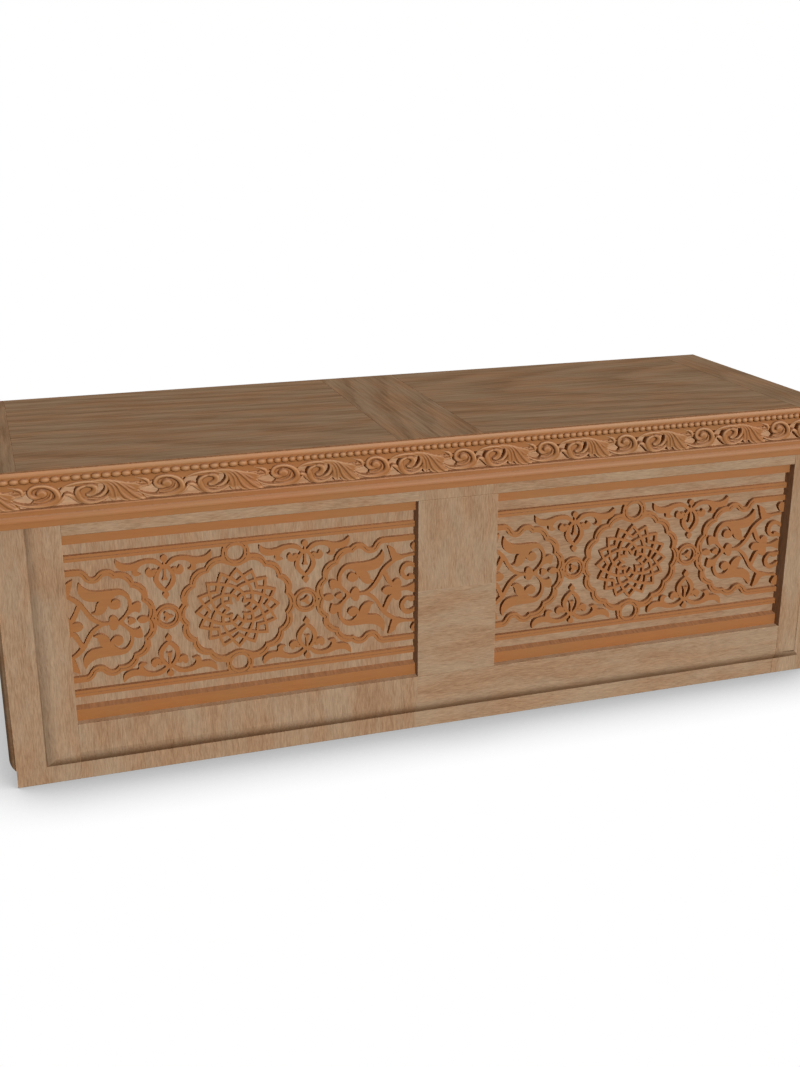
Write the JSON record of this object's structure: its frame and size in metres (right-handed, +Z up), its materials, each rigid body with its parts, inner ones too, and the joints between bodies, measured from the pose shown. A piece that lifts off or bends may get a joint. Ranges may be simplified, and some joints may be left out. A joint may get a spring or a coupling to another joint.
{
  "type": "carved wooden blanket chest",
  "caption": "Long low wooden chest with a raised framed front, carved arabesque panels, an acanthus scroll cornice and a hinged box lid.",
  "frame": {"origin": "middle of the chest's footprint, on the face it stands on", "axes": "+Z up, the carved front faces -Y, the length runs along X"},
  "size_m": [1.276, 0.433, 0.45],
  "materials": {
    "front_wood": "oiled, worn",
    "ground_wood": "dry, bare",
    "strip_wood": "oiled, worn",
    "carving_wood": "waxed",
    "moulding_wood": "waxed",
    "top_wood": "waxed, worn",
    "side_wood": "oiled, worn",
    "inner_wood": "bare",
    "hinge_steel": "dulled",
    "screw_steel": "dulled"
  },
  "bodies": {
    "chest": {"back_floor_board": "inner_wood", "back_floor_cleat": "inner_wood", "back_left_post": "inner_wood", "back_lower_board": "inner_wood", "back_right_post": "inner_wood", "back_upper_board": "inner_wood", "centre_hinge_body_leaf": "hinge_steel", "centre_hinge_pin": "hinge_steel", "front_bottom_rail": "front_wood", "front_centre_stile": "front_wood", "front_floor_board": "inner_wood", "front_floor_cleat": "inner_wood", "front_left_post": "inner_wood", "front_left_stile": "front_wood", "front_right_post": "inner_wood", "front_right_stile": "front_wood", "front_top_rail": "front_wood", "hinge_screws_body": "screw_steel", "left_floor_cleat": "inner_wood", "left_fret": "carving_wood", "left_ground_panel": "ground_wood", "left_hinge_body_leaf": "hinge_steel", "left_hinge_pin": "hinge_steel", "left_lower_strip": "strip_wood", "left_rosette": "carving_wood", "left_side": "side_wood", "left_upper_strip": "strip_wood", "middle_floor_board": "inner_wood", "post_screws": "screw_steel", "right_floor_cleat": "inner_wood", "right_fret": "carving_wood", "right_ground_panel": "ground_wood", "right_hinge_body_leaf": "hinge_steel", "right_hinge_pin": "hinge_steel", "right_lower_strip": "strip_wood", "right_rosette": "carving_wood", "right_side": "side_wood", "right_upper_strip": "strip_wood"},
    "lid": {"centre_hinge_lid_leaf": "hinge_steel", "cornice_frieze": "carving_wood", "cornice_lower_moulding": "moulding_wood", "cornice_upper_moulding": "moulding_wood", "hinge_screws_lid": "screw_steel", "left_hinge_lid_leaf": "hinge_steel", "lid_back_rim": "inner_wood", "lid_centre_board": "top_wood", "lid_corner_blocks": "inner_wood", "lid_front_rim": "ground_wood", "lid_left_clamp": "top_wood", "lid_left_panel": "top_wood", "lid_left_rim": "side_wood", "lid_right_clamp": "top_wood", "lid_right_panel": "top_wood", "lid_right_rim": "side_wood", "right_hinge_lid_leaf": "hinge_steel"}
  },
  "joints": [
    {"name": "lid_hinge", "type": "hinge", "parent": "chest", "child": "lid", "pos_m": [0, 0.2085, 0.375], "axis": [-1, 0, 0], "range_deg": [0, 100]}
  ]
}
